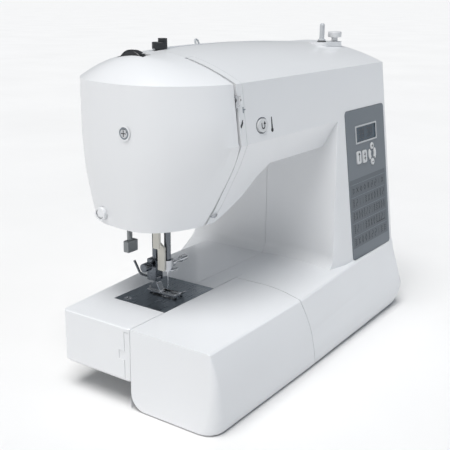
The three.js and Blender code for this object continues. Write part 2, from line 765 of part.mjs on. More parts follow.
function motor() {
  return turned('x', motorY, motorZ, 262, [
    [0, 0], [motorRadius - 2, 0], [motorRadius, 2], [motorRadius, 64], [motorRadius - 4, 68],
    [12, 68], [12, 73], [7, 74], [0, 74],
  ], 32);
}

function handwheel() {
  const start = bodyRight + 1;
  const far = wheelProud - 1;
  return turned('x', needleY, shaftZ, start, [
    [0, 9], [shaftRadius + fit, 9], [shaftRadius + fit, 0], [14, 0], [14, 3], [wheelRadius - 3, 3],
    [wheelRadius, 6], [wheelRadius, far - 5], [wheelRadius - 4, far], [wheelRadius - 12, far],
    [wheelRadius - 16, far - 3], [0, far - 3],
  ], 40);
}

function crankDisc() {
  const heavy = cut(
    rod('x', needleY, shaftZ, crankX0, crankX1, 21, 36),
    box(crankX0 - 1, crankX1 + 1, needleY + 3, needleY + 30, shaftZ + 9, shaftZ + 30),
    box(crankX0 - 1, crankX1 + 1, needleY + 3, needleY + 30, shaftZ - 30, shaftZ - 7),
  );
  return join(heavy, rod('x', pinY, pinZ, linkX1 + 0.5, crankX0 + 1, 3, 16));
}

function needleLink() {
  const top = [pinY, pinZ];
  const width = (radius, [y, z]) => {
    const points = [];
    for (let i = 0; i < 16; i += 1) {
      const angle = (i / 16) * 2 * Math.PI;
      const py = y + radius * Math.cos(angle);
      const pz = z + radius * Math.sin(angle);
      points.push(new THREE.Vector3(linkX0, py, pz), new THREE.Vector3(linkX1, py, pz));
    }
    return points;
  };
  const body = new ConvexGeometry([...width(5, [needleY, blockZ]), ...width(6, top)]);
  return cut(
    solid(body),
    rod('x', needleY, blockZ, linkX0 - 1, linkX1 + 1, 2.5 + fit, 16),
    rod('x', top[0], top[1], linkX0 - 1, linkX1 + 1, 3 + fit, 16),
  );
}

function takeUpLever() {
  const x0 = slotLeft + 0.5;
  const x1 = slotLeft + slotWidth - 0.5;
  const outline = new THREE.Shape();
  outline.moveTo(6, takeUp.z - 4);
  outline.lineTo(6, takeUp.z + 4);
  outline.lineTo(-4, takeUp.z + 7);
  outline.quadraticCurveTo(-26, takeUp.z + 14, -43, 259);
  outline.lineTo(-50, 259);
  outline.lineTo(-50, 252);
  outline.quadraticCurveTo(-28, takeUp.z + 4, -6, takeUp.z - 7);
  const blade = prism('x', outline, x0, x1);
  return cut(blade, rod('x', -46, 255.5, x0 - 1, x1 + 1, 1.4, 12));
}

// ---------------------------------------------------------------- needle and presser
function needleBar() {
  const bar = rod('z', needleX, needleY, clamp.z0 + 1.3, 258, barRadius, 24);
  const half = blockHeight / 2;
  const block = box(needleX - 5, needleX + 5, needleY - 5, needleY + 5, blockZ - half, blockZ + half);
  return join(bar, block, rod('x', needleY, blockZ, needleX + 4, linkX1, 2.5, 16));
}

const clamp = { z0: 97, z1: 107, radius: 5, screwZ: 102.4 };

function needleClamp() {
  const c = clamp;
  const collar = cut(
    rod('z', needleX, needleY, c.z0, c.z1, c.radius, 24),
    rod('z', needleX, needleY, c.z0 + 1, c.z1 + 1, barRadius + fit, 24),
  );
  const guide = box(needleX - 1, needleX + 7.5, needleY - 7.2, needleY - 4.4, c.z0, c.z0 + 1.4);
  const boss = rod('x', needleY, c.screwZ, needleX + 4, needleX + 8, 3.6, 20);
  return cut(join(collar, guide, boss), rod('x', needleY, c.screwZ, needleX + 3.5, needleX + 9, 2.1, 16));
}

function clampScrew() {
  return turned('x', needleY, clamp.screwZ, needleX + barRadius + 0.6, [
    [0, 0], [1.8, 0], [1.8, 13], [2.3, 13.2], [2.3, 15], [3, 15.4], [3, 22.8], [2.4, 23.6],
    [0, 23.6],
  ], 24);
}

function needle() {
  const profile = [
    [0, 0], [0.35, 2.6], [0.55, 6], [0.55, 16], [1.05, 17.5], [1.05, 22], [0, 22],
  ];
  return turned('z', needleX, needleY, clamp.z0 - fit - 22, profile, 12);
}

const holder = { z0: 85, z1: 93, top: 105, screwZ: 100.4 };

function presserBar() {
  const bar = rod('z', needleX, presserY, holder.z1 - 1, 256, barRadius, 24);
  const block = box(needleX - 5, needleX + 5, presserY - 4, presserY + 6, holder.z0, holder.top);
  const slot = box(needleX - 3.6, needleX + 3.6, presserY - 5, presserY + 3, holder.z0 - 1, holder.z0 + 4);
  const release = tube([
    [needleX, 42, 86.4], [needleX, 49, 86], [needleX, 55, 86.3], [needleX, 57.2, 87.4],
    [needleX, 60, 92], [needleX, 63.8, 98],
  ], 1.2, 12, 8);
  const screwHole = rod('x', presserY, holder.screwZ, needleX - 6, needleX - 3.2, 2, 16);
  const l = lifter;
  const reach = box(needleX - 4, l.x + 7, l.y0 + 1, l.y1 - 1, l.z + 7.5, l.z + 12);
  const arm = box(needleX - 5, needleX + 5, presserY - 5, l.y1 - 1, l.z + 7.5, l.z + 15);
  return cut(join(bar, block, release, reach, arm), slot, screwHole);
}

function footScrew() {
  return turned('x', presserY, holder.screwZ, needleX - 17.5, [
    [0, 0], [4, 0], [4, 8.4], [2.9, 8.8], [2.9, 11], [1.6, 11.4], [1.6, 13.6], [0, 13.6],
  ], 24);
}

function presserSpring() {
  const turns = 8;
  const points = [];
  for (let i = 0; i <= turns * 8; i += 1) {
    const angle = (i / 8) * 2 * Math.PI;
    const z = 184 + (51 * i) / (turns * 8);
    points.push([needleX + 4.4 * Math.cos(angle), presserY + 4.4 * Math.sin(angle), z]);
  }
  return tube(points, 0.7, turns * 8, 4);
}

const foot = { z: 74.3, pivotZ: 81.5, halfWidth: 5.8 };

function presserFoot() {
  const f = foot;
  const outline = new THREE.Shape();
  outline.moveTo(12.4, f.z);
  outline.lineTo(presserY + 4, f.z);
  outline.quadraticCurveTo(presserY + 5.6, f.z + 0.2, presserY + 6, f.z + 2.2);
  outline.lineTo(presserY + 4, f.z + 1.7);
  outline.lineTo(14.4, f.z + 1.7);
  outline.quadraticCurveTo(10.6, f.z + 2, 8.3, f.z + 4.6);
  outline.lineTo(7.4, f.z + 4);
  outline.quadraticCurveTo(9, f.z + 0.4, 12.4, f.z);
  const sole = prism('x', outline, needleX - f.halfWidth, needleX + f.halfWidth);
  const slot = box(needleX - 1.6, needleX + 1.6, 0, needleY, 70, 90);
  const opening = box(needleX - 3.2, needleX + 3.2, needleY - 3, needleY + 4, 70, 90);
  const ankle = box(needleX - 3.2, needleX + 3.2, presserY - 3.4, presserY + 2.4, f.z + 1, 88);
  const cheek = prism('x', [
    [presserY - 7.5, f.z + 1], [presserY + 4, f.z + 1], [presserY + 2.4, 83], [presserY - 3.4, 83],
  ], needleX - 3.2, needleX + 3.2);
  return join(cut(sole, slot, opening), ankle, cheek);
}

function lifterLever() {
  const l = lifter;
  const hub = rod('y', l.x, l.z, l.y0, l.y1, 7, 24);
  const lobe = [l.x + 11, l.z + 3];
  const cam = prism('y', [
    [l.x - 4, l.z + 5.4], [l.x - 2, l.z - 4], lobe.map((v, i) => v - i * 6), lobe,
    [l.x + 4, l.z + 5.8],
  ], l.y0 + 1, l.y1 - 1);
  const outline = new THREE.Shape();
  const tip = [l.x + l.length, l.z - 15];
  outline.moveTo(l.x, l.z + 5);
  outline.lineTo(tip[0] - 4, tip[1] + 5);
  outline.absarc(tip[0], tip[1], 5, Math.PI / 2, -Math.PI / 2, true);
  outline.lineTo(l.x + 2, l.z - 6.5);
  const arm = prism('y', outline, l.y0 + 1, l.y1 - 1);
  return cut(join(hub, cam, arm), rod('y', l.x, l.z, l.y0 - 1, l.y1 + 1, 2.4, 16));
}

function threader() {
  const outline = [[21.5, 98], [29, 98], [29, 126], [21.5, 120]];
  const plate = prism('x', outline, needleX - 8.2, needleX - 5.6);
  return join(plate, box(needleX - 9.6, needleX - 6.6, 26, 33, 118, 168));
}

function buttonholeLever() {
  const block = prism('y', roundedBox(64.5, 78, 110, 121, 1.2), 57, 63);
  return join(block, box(67.3, 72, 58, 61, 120, 185));
}

// ---------------------------------------------------------------- hook, bobbin and feed
function shuttleRace() {
  const r = raceRadius;
  const ring = turned('y', needleX, hookZ, 25, [
    [r - 2.1, 0], [r, 0], [r, 9.7], [4.6, 9.7], [4.6, 7], [r - 2.1, 7], [r - 2.1, 0],
  ], 40);
  return cut(ring, box(needleX - 3.4, needleX + 3.4, 20, 29, hookZ + 8, hookZ + 30));
}

function shuttleHook() {
  const r = hookRadius;
  const cup = turned('y', needleX, hookZ, 26, [
    [0, 2.4], [r - 4, 2.4], [r - 4, 0], [r, 0], [r, 4.6], [0, 4.6],
  ], 40);
  const window = prism('y', [
    [needleX, hookZ], [needleX + 3, hookZ + 30], [needleX + 30, hookZ + 30], [needleX + 30, hookZ + 3],
  ], 25, 28.3);
  return join(cut(cup, window), rod('y', needleX, hookZ, 30, 52, 4, 20));
}

function bobbinCase() {
  const cup = turned('y', needleX, hookZ, 9.5, [
    [0, 0], [11, 0], [11.8, 0.8], [11.8, 12.5], [10.8, 12.5], [10.8, 1.1], [2.6, 1.1], [2.6, 11.4],
    [0, 11.4],
  ], 24);
  const latch = prism('y', roundedBox(needleX - 3, needleX + 11, hookZ - 2.5, hookZ + 2.5, 2), 8, 9.6);
  return join(cup, latch);
}

function bobbin() {
  const r = bobbinRadius;
  return turned('y', needleX, hookZ, 11, [
    [3, 0], [r, 0], [r, 1], [4.2, 1], [4.2, 9.4], [r, 9.4], [r, 10.4], [3, 10.4], [3, 0],
  ], 32);
}

const toothPitch = 2.5; // along the feed dog

function feedDog() {
  const y0 = needleY - 10.5;
  const y1 = needleY + 14.5;
  const teeth = (x0, x1) => {
    const outline = [[y0, 66], [y1, 66], [y1, bedTop]];
    for (let y = y1; y > y0 + 1; y -= toothPitch) {
      outline.push([y - toothPitch / 2, bedTop + 0.4], [y - toothPitch, bedTop - 0.4]);
    }
    return prism('x', outline, x0, x1);
  };
  const bed = cut(
    box(needleX - 5.3, needleX + 5.3, y0, y1, 65.4, 68),
    box(needleX - 2.6, needleX + 2.6, y0 + 3, y1 - 3, 60, 70),
  );
  return join(bed, teeth(needleX - 5.3, needleX - 3.1), teeth(needleX + 3.1, needleX + 5.3));
}

// ---------------------------------------------------------------- top and panel
function tensionDial() {
  const t = tension;
  return turned('x', t.y, t.z, t.x - t.thick / 2, [
    [0, 0], [t.radius - 1.2, 0], [t.radius, 1.2], [t.radius, t.thick - 1.2],
    [t.radius - 1.2, t.thick], [0, t.thick],
  ], 40);
}

function pressureKnob() {
  const k = knob;
  const stem = rod('z', k.x, k.y, 276, k.base + 1, 4, 20);
  const top = k.base + k.height;
  const drum = rod('z', k.x, k.y, k.base, top, k.radius, 28, k.radius - 0.3);
  return join(stem, drum, rod('z', k.x + 2.4, k.y - 1.4, top - 0.3, top + 3.3, 4, 20));
}

function winderCarrier() {
  const w = winder;
  return join(rod('z', w.x, w.y, 279.5, w.top + 0.8, 5, 20), rod('z', w.x, w.y, 279.5, 283, 8, 20));
}

function winderSpindle() {
  const w = winder;
  const base = w.top + 0.8 + fit;
  const post = turned('z', w.x, w.y, base, [
    [0, 0], [4.2, 0], [4.2, 1.6], [2.7, 2], [2.7, 16.6], [1.6, 18.4], [0, 18.4],
  ], 20);
  const spring = box(w.x + 2, w.x + 3.4, w.y - 0.8, w.y + 0.8, base + 6, base + 15);
  return join(post, spring);
}

function bobbinStopper() {
  const w = winder;
  const x = w.x + 17.4 * w.along.x;
  const y = w.y + 17.4 * w.along.y;
  return turned('z', x, y, w.top + fit, [
    [0, 0], [3.4, 0], [3.4, 4], [7.4, 4.4], [7.4, 9.6], [6.6, 10.4], [0, 10.4],
  ], 28);
}

function spoolPin() {
  const r = spoolRecess;
  const mount = box(r.x0 + fit, r.x0 + 6, 84, 98, r.z + fit, r.z + 14);
  const pin = rod('x', 91, r.z + 7.5, r.x0 + 5, r.x1 - 4, 2.8, 20);
  return join(mount, pin, rod('x', 91, r.z + 7.5, r.x1 - 12, r.x1 - 9.5, 6.4, 24));
}

const reverse = { x: 117.4, z: 231, halfWidth: 8, halfHeight: 5.8 };
const keysZ = panelZ1 - 49.5; // row of keys, below the display
const tallButtons = [
  { x: panelX0 + 24.6, z: keysZ + 0.3 },
  { x: panelX0 + 38, z: keysZ - 0.3 },
];
const selector = { x: panelX0 + 56.6, z: keysZ - 0.3 };
const tall = { halfWidth: 4.6, halfHeight: 6.6 };

function tallOutline({ x, z }, margin) {
  const w = tall.halfWidth + margin;
  const h = tall.halfHeight + margin;
  return roundedBox(x - w, x + w, climb(z) - h, climb(z) + h, 2.5 + margin);
}

// Curved key of the selector, on the left for a side of -1 and on the right for 1.
function curvedOutline(side, margin) {
  const outline = new THREE.Shape();
  const middle = side > 0 ? 0 : Math.PI;
  const reach = 0.72 + margin * 0.09;
  const z = climb(selector.z);
  outline.absarc(selector.x, z, 8.6 + margin, middle - reach, middle + reach, false);
  outline.absarc(selector.x, z, 4.2 - margin, middle + reach, middle - reach, true);
  return outline;
}

const selectorKeys = {
  selector_up: (m) => disc(selector.x, selector.z + 8.4, 3.6 + m),
  selector_down: (m) => disc(selector.x, selector.z - 8.4, 3.6 + m),
  selector_left: (m) => curvedOutline(-1, m),
  selector_right: (m) => curvedOutline(1, m),
};

const keyProud = -panelProud - 1.1;
const keyDeep = panelThick + 1;
const window = {
  x0: panelX0 + 22, x1: panelX1 - 23, z0: panelZ1 - 33.5, z1: panelZ1 - 18.5,
};
const keyOpening = { // in the cover behind the keys
  x0: panelX0 + 14, x1: panelX0 + 72, z0: keysZ - 15.5, z1: window.z0 - 1.1,
};

function controlPanel() {
  const w = window;
  const holes = [
    ...tallButtons.map((place) => tallOutline(place, 0.25)),
    ...Object.values(selectorKeys).map((outline) => outline(0.25)),
    roundedBox(w.x0 - 0.3, w.x1 + 0.3, climb(w.z0) - 0.3, climb(w.z1) + 0.3, 1),
  ];
  const plate = onFace(panelOutline(0), -panelProud, panelThick - panelProud);
  return cut(plate, ...holes.map((hole) => onFace(hole, -5, 8)));
}

function display() {
  const w = window;
  const pane = roundedBox(w.x0, w.x1, climb(w.z0), climb(w.z1), 0.8);
  return onFace(pane, -panelProud + 0.3, panelThick - panelProud);
}

function circuitBoard() {
  const outline = roundedBox(panelX0 + 6, panelX1 - 9, climb(panelZ0 + 14), climb(panelZ1 - 13), 2);
  return onFace(outline, 7.5, 9.1);
}

function reverseOutline(margin) {
  const r = reverse;
  const outline = new THREE.Shape();
  outline.absellipse(r.x, climb(r.z), r.halfWidth + margin, r.halfHeight + margin, 0, 2 * Math.PI);
  return outline;
}

// The button has a flange behind the cover that keeps it from falling out.
function reverseButton() {
  const cap = onFace(reverseOutline(0), -1.4, 6, 12);
  return join(cap, onFace(reverseOutline(1.4), wall + 0.6, wall + 1.8, 12));
}

// A key with a flange behind the panel that keeps it from falling out.
function panelKey(outline) {
  const back = panelThick - panelProud + fit;
  return join(onFace(outline(0), keyProud, keyDeep), onFace(outline(0.8), back, keyDeep));
}

// ---------------------------------------------------------------- rear and side fittings
function powerInlet() {
  const i = inlet;
  const body = box(bodyRight - 16, bodyRight + 0.4, i.y0, i.y1, i.z0, i.z1);
  const outline = roundedBox(i.y0 + 4, i.y1 - 4, i.z0 + 5, i.z1 - 5, 3);
  return cut(body, prism('x', outline, bodyRight - 12, bodyRight + 2));
}

function powerSwitch() {
  const r = rocker;
  const middle = (r.z0 + r.z1) / 2;
  const outline = [
    [bodyRight - 5, r.z0 + 1.4], [bodyRight + 0.4, r.z0 + 1.4], [bodyRight + 1.2, middle],
    [bodyRight + 3, r.z1 - 1.6], [bodyRight - 5, r.z1 - 1.6],
  ];
  return prism('y', outline, r.y0 + 0.6, r.y1 - 0.6);
}

const handlePivot = { y: 106, z: handleRecess.z + 4.2 };
const handlePin = 2.4; // radius
const pinDepth = 1.8; // of the pins in the recess's walls
const takeUp = { z: 222 };

const feet = {
  foot_front_left: [186, -70], foot_front_right: [344, -66],
  foot_rear_left: [186, 76], foot_rear_right: [350, 98],
};

// ---------------------------------------------------------------- assembly
const group = new THREE.Group();
group.position.set(-(bodyRight + wheelProud) / 2, -(baseFront + bodyBack) / 2, 0);
const root = new THREE.Group();
root.add(group);

function add(name, shape, finish) {
  group.add(mesh(name, shape, finish));
}

add('front_cover', frontCover(), white);
add('rear_cover', rearCover(), white);
add('face_cover', faceCover(), white);
add('thread_channel', threadChannel(), white);
add('extension_table', extensionTable(), white);
add('shuttle_cover', shuttleCover(), white);
add('needle_plate', needlePlate(), blackened);
add('arm_bottom_cover', armBottomCover(), lightGrey);
add('base_tray', baseTray(), lightGrey);
add('winder_platform', winderPad(), white);
add('carry_handle', carryHandle(), white);
for (const [name, [x, y]] of Object.entries(feet)) {
  add(name, rod('z', x, y, 0, trayZ - fit, 9, 24), rubber);
}
add('cast_frame', castFrame(), cast);
add('main_shaft', mainShaft(), steel);
add('crank_disc', crankDisc(), cast);
add('handwheel', handwheel(), white);
add('timing_belt', timingBelt(), rubber);
add('lower_shaft', lowerShaft(), steel);
add('motor', motor(), cast);
add('motor_pulley', motorPulley(), steel);
add('needle_link', needleLink(), steel);
add('take_up_lever', takeUpLever(), steel);
add('needle_bar', needleBar(), blackened);
add('needle_clamp', needleClamp(), steel);
add('clamp_screw', clampScrew(), steel);
add('needle', needle(), steel);
add('presser_bar', presserBar(), blackened);
add('foot_screw', footScrew(), dark);
add('presser_spring', presserSpring(), steel);
add('presser_foot', presserFoot(), steel);
add('lifter_lever', lifterLever(), grey);
add('needle_threader', threader(), lightGrey);
add('buttonhole_lever', buttonholeLever(), grey);
add('thread_cutter', threadCutter(), white);
add('shuttle_race', shuttleRace(), blackened);
add('shuttle_hook', shuttleHook(), steel);
add('bobbin_case', bobbinCase(), steel);
add('bobbin', bobbin(), lightGrey);
add('feed_dog', feedDog(), steel);
add('tension_dial', tensionDial(), dark);
add('pressure_knob', pressureKnob(), dark);
add('winder_carrier', winderCarrier(), dark);
add('winder_spindle', winderSpindle(), lightGrey);
add('bobbin_stopper', bobbinStopper(), white);
add('spool_pin', spoolPin(), lightGrey);
add('control_panel', controlPanel(), grey);
add('display', display(), glass);
add('circuit_board', circuitBoard(), board);
tallButtons.forEach((place, i) => {
  const name = ['mode_button', 'adjust_button'][i];
  add(name, panelKey((margin) => tallOutline(place, margin)), lightGrey);
});
for (const [name, outline] of Object.entries(selectorKeys)) {
  add(name, panelKey(outline), lightGrey);
}
add('reverse_button', reverseButton(), lightGrey);
add('power_inlet', powerInlet(), dark);
add('power_switch', powerSwitch(), dark);

export default root;
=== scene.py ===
"""Looks of a white free-arm sewing machine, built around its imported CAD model. Metres, +Z up."""
import json
import math

import bmesh
import bpy
from mathutils import Matrix, Vector


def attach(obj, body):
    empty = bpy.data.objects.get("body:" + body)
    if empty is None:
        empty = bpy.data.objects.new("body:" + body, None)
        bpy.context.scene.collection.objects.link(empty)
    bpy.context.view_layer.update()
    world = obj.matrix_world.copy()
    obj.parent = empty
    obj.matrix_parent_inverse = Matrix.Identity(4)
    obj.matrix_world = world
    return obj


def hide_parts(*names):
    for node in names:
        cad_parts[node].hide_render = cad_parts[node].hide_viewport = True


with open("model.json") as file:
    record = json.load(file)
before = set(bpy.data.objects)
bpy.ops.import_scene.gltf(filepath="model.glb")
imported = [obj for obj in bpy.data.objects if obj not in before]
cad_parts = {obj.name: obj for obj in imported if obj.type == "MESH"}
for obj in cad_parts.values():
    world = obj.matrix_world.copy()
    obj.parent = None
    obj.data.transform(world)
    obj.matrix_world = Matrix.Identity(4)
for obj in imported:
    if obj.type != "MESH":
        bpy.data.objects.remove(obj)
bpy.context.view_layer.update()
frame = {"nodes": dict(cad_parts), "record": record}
MM = 0.001
LEAN = math.atan(0.125)  # the pillar's front face leans back
CENTRE = Vector((0.196, 0.015, 0))  # the machine's own zero point, seen from the row's


def at(x, y, z):
    """A point of the machine's own axes, in mm, in the row frame."""
    return Vector((x * MM, y * MM, z * MM)) - CENTRE


# ------------------------------------------------------------------ camera
def make_camera():
    azimuth, elevation, roll = (math.radians(v) for v in (-55.2815, 16.2838, 0.6044))
    back = Vector((math.sin(azimuth) * math.cos(elevation),
                   -math.cos(azimuth) * math.cos(elevation), math.sin(elevation)))
    right = (-back).cross(Vector((0, 0, 1))).normalized()
    up = right.cross(-back)
    turned = right * math.cos(roll) + up * math.sin(roll)
    above = up * math.cos(roll) - right * math.sin(roll)
    data = bpy.data.cameras.new("camera")
    data.sensor_width = 36
    data.lens = 63.755
    data.clip_start = 0.01
    camera = bpy.data.objects.new("camera", data)
    camera.matrix_world = Matrix((turned, above, back)).transposed().to_4x4()
    camera.location = at(-450.4, -406.1, 338.7)
    bpy.context.collection.objects.link(camera)
    bpy.context.scene.camera = camera


# ------------------------------------------------------------------ materials
# The mix node has a socket of one name for each type; these are the colour ones' places.
MIX_COLOUR_A, MIX_COLOUR_B, MIX_COLOUR_OUT = 6, 7, 2


class Nodes:
    """One procedural material and the few node patterns that the finishes share."""

    def __init__(self, name):
        self.material = bpy.data.materials.new(name)
        self.material.use_nodes = True
        self.tree = self.material.node_tree
        self.shader = self.tree.nodes["Principled BSDF"]
        self.place = self.tree.nodes.new("ShaderNodeTexCoord").outputs["Object"]

    def node(self, kind, inputs=None, **settings):
        made = self.tree.nodes.new(kind)
        for key, value in settings.items():
            setattr(made, key, value)
        for key, value in (inputs or {}).items():
            self.put(made.inputs[key], value)
        return made

    def put(self, socket, value):
        if isinstance(value, bpy.types.NodeSocket):
            self.tree.links.new(value, socket)
        else:
            socket.default_value = value

    def noise(self, scale, detail=3.0, stretch=(1, 1, 1)):
        where = self.node("ShaderNodeMapping", {"Vector": self.place, "Scale": stretch})
        made = self.node("ShaderNodeTexNoise", {
            "Vector": where.outputs[0], "Scale": scale, "Detail": detail, "Roughness": 0.55})
        return made.outputs["Fac"]

    def spread(self, fac, low, high, start=0.3, end=0.7):
        """fac from start to end, taken to low and high."""
        made = self.node("ShaderNodeMapRange", {
            "Value": fac, "From Min": start, "From Max": end, "To Min": low, "To Max": high})
        return made.outputs["Result"]

    def mix(self, fac, low, high):
        """The colour low where fac is 0, high where it is 1."""
        made = self.node("ShaderNodeMix", data_type="RGBA")
        self.put(made.inputs["Factor"], fac)
        self.put(made.inputs[MIX_COLOUR_A], low)
        self.put(made.inputs[MIX_COLOUR_B], high)
        return made.outputs[MIX_COLOUR_OUT]

    def bump(self, height, strength, distance):
        made = self.node("ShaderNodeBump", {
            "Height": height, "Strength": strength, "Distance": distance})
        self.put(self.shader.inputs["Normal"], made.outputs[0])


def rgba(colour):
    return (*colour, 1.0)


def shade(colour, factor):
    return tuple(min(1.0, c * factor) for c in colour)


def plastic(name, colour, rough=0.3, texture=0.0, coat=0.0, grain=900.0):
    """Moulded plastic: slight variation of tone and gloss, and a fine moulded texture."""
    n = Nodes(name)
    cloud = n.spread(n.noise(9.0, 1.0), 0, 1, 0.1, 0.9)
    tone = n.mix(cloud, rgba(shade(colour, 0.97)), rgba(shade(colour, 1.02)))
    n.put(n.shader.inputs["Base Color"], tone)
    handled = n.spread(n.noise(11.0, 1.0), rough * 0.95, rough * 1.1, 0.1, 0.9)
    n.put(n.shader.inputs["Roughness"], handled)
    n.shader.inputs["Coat Weight"].default_value = coat
    n.shader.inputs["Coat Roughness"].default_value = 0.08
    n.shader.inputs["IOR"].default_value = 1.5
    if texture:
        n.bump(n.noise(grain, 2.0), texture, 0.0002)
    return n.material


def metal(name, colour, rough, stretch, brush):
    """Bare or plated metal with directional polishing marks and dulled patches."""
    n = Nodes(name)
    lines = n.noise(700.0, 2.0, stretch)
    patch = n.spread(n.noise(60.0, 4.0), 0, 1, 0.4, 0.75)
    base = n.mix(n.spread(lines, 0, 1), rgba(shade(colour, 0.88)), rgba(shade(colour, 1.05)))
    dirt = n.node("ShaderNodeMath", {0: patch, 1: 0.1}, operation="MULTIPLY").outputs[0]
    n.put(n.shader.inputs["Base Color"], n.mix(dirt, base, rgba(shade(colour, 0.45))))
    n.shader.inputs["Metallic"].default_value = 1.0
    n.put(n.shader.inputs["Roughness"], n.spread(lines, rough * 0.75, rough * 1.6))
    n.bump(lines, brush, 0.0002)
    return n.material


def casting(name, colour):
    """Sand-textured die casting."""
    n = Nodes(name)
    skin = n.noise(420.0, 5.0)
    base = n.mix(n.spread(n.noise(25.0, 4.0), 0, 1), rgba(shade(colour, 0.8)), rgba(colour))
    n.put(n.shader.inputs["Base Color"], base)
    n.shader.inputs["Metallic"].default_value = 0.75
    n.put(n.shader.inputs["Roughness"], n.spread(skin, 0.45, 0.7))
    n.bump(skin, 0.5, 0.0004)
    return n.material


def rubber(name, colour):
    """Matt rubber with a fine grain and paler, worn places."""
    n = Nodes(name)
    skin = n.noise(800.0, 3.0)
    base = n.mix(n.spread(n.noise(70.0, 3.0), 0, 1), rgba(colour), rgba(shade(colour, 2.2)))
    n.put(n.shader.inputs["Base Color"], base)
    n.put(n.shader.inputs["Roughness"], n.spread(skin, 0.7, 0.95))
    n.bump(skin, 0.4, 0.0003)
    return n.material


def screen(name, colour):
    """Dark display pane: liquid-crystal cells behind a smooth window."""
    n = Nodes(name)
    cells = n.node("ShaderNodeTexBrick", {
        "Vector": n.place, "Scale": 420.0, "Mortar Size": 0.03, "Color1": rgba(colour),
        "Color2": rgba(shade(colour, 1.15)), "Mortar": rgba(shade(colour, 0.8))})
    tint = n.mix(n.spread(n.noise(30.0), 0, 1), cells.outputs["Color"], rgba(shade(colour, 1.3)))
    n.put(n.shader.inputs["Base Color"], tint)
    n.put(n.shader.inputs["Roughness"], n.spread(n.noise(200.0), 0.16, 0.26))
    n.shader.inputs["Specular IOR Level"].default_value = 0.3
    return n.material


WHITE = (0.80, 0.81, 0.825)
finishes = {
    "white_plastic": plastic("white_plastic", WHITE, 0.3, 0.0, 0.25),
    "grey_plastic": plastic("grey_plastic", (0.155, 0.18, 0.205), 0.42, 0.2, 0.0, 1500.0),
    "light_plastic": plastic("light_plastic", (0.52, 0.54, 0.56), 0.38, 0.25),
    "cream_plastic": plastic("cream_plastic", (0.74, 0.72, 0.65), 0.4, 0.1),
    "pale_plastic": plastic("pale_plastic", (0.68, 0.69, 0.7), 0.35, 0.05),
    "mid_plastic": plastic("mid_plastic", (0.3, 0.32, 0.33), 0.35, 0.1),
    "dark_plastic": plastic("dark_plastic", (0.022, 0.024, 0.027), 0.38, 0.5),
    "polished_steel": metal("polished_steel", (0.62, 0.63, 0.65), 0.14, (1, 1, 0.06), 0.06),
    # Chrome whose base colour is darkened as painted shade and painted dark reflection.
    "dark_chrome": metal("dark_chrome", (0.16, 0.175, 0.195), 0.2, (0.05, 1, 1), 0.1),
    "plate_chrome": metal("plate_chrome", (0.27, 0.305, 0.345), 0.3, (0.05, 1, 1), 0.08),
    "ground_steel": metal("ground_steel", (0.5, 0.51, 0.53), 0.3, (0.06, 1, 1), 0.25),
    "frame_casting": casting("frame_casting", (0.4, 0.41, 0.42)),
    "belt_rubber": rubber("belt_rubber", (0.014, 0.014, 0.015)),
    "board_green": plastic("board_green", (0.012, 0.12, 0.045), 0.4, 0.3),
    "screen_glass": screen("screen_glass", (0.018, 0.042, 0.066)),
    # Print colours; the light one also paints shade on the screw recess's floor, the grey one in the
    # gap round the reverse button, the dark one in screw slots and the channel's opening.
    "print_white": plastic("print_white", (0.62, 0.63, 0.64), 0.5, 0.1),
    "print_and_shade_light": plastic("print_and_shade_light", (0.25, 0.28, 0.31), 0.5, 0.1),
    "print_and_shade_grey": plastic("print_and_shade_grey", (0.11, 0.13, 0.15), 0.5, 0.1),
    "print_and_shade_dark": plastic("print_and_shade_dark", (0.016, 0.018, 0.022), 0.5, 0.1),
}
# The record's slot for each finish that has a name of its own.
# Nodes that look different from the rest of their slot.
PALE_CAPS = ("reverse_button", "bobbin_stopper", "mode_button", "adjust_button",
             "selector_up", "selector_down", "selector_left", "selector_right")
OWN_FINISH = {"needle_plate": "plate_chrome", "buttonhole_lever": "mid_plastic",
              **{node: "pale_plastic" for node in PALE_CAPS}}
slots = {entry["node"]: entry["material_slot"] for entry in frame["record"]["subparts"]}
body_of = {node: body for body, nodes in frame["record"]["behaviour"]["bodies"].items()
           for node in nodes}


# ------------------------------------------------------------------ mesh helpers
def new_object(name, mesh, finish, body, *replaced):
    made = bpy.data.objects.new(name, mesh)
    bpy.context.collection.objects.link(made)
    mesh.materials.clear()
    mesh.materials.append(finishes[finish])
    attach(made, body)
    if replaced:
        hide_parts(*replaced)
    return made




def smooth_by_angle(mesh, degrees):
    """Smooth shading, with the edges sharper than the angle kept hard."""
    work = bmesh.new()
    work.from_mesh(mesh)
    limit = math.radians(degrees)
    for face in work.faces:
        face.smooth = True
    for edge in work.edges:
        edge.smooth = len(edge.link_faces) == 2 and edge.calc_face_angle(0) <= limit
    work.to_mesh(mesh)
    work.free()


def apply(obj):
    """Bakes the object's modifiers into its mesh."""
    graph = bpy.context.evaluated_depsgraph_get()
    mesh = bpy.data.meshes.new_from_object(obj.evaluated_get(graph))
    obj.modifiers.clear()
    obj.data = mesh


EDGE_ROUNDING = 0.6  # mm
HARD_EDGE = 28  # degrees: sharper edges are rounded, and stay hard in the shading
FLAT = 0.6  # degrees: faces within this angle of each other become one
SAME_POINT = 2e-6  # metres


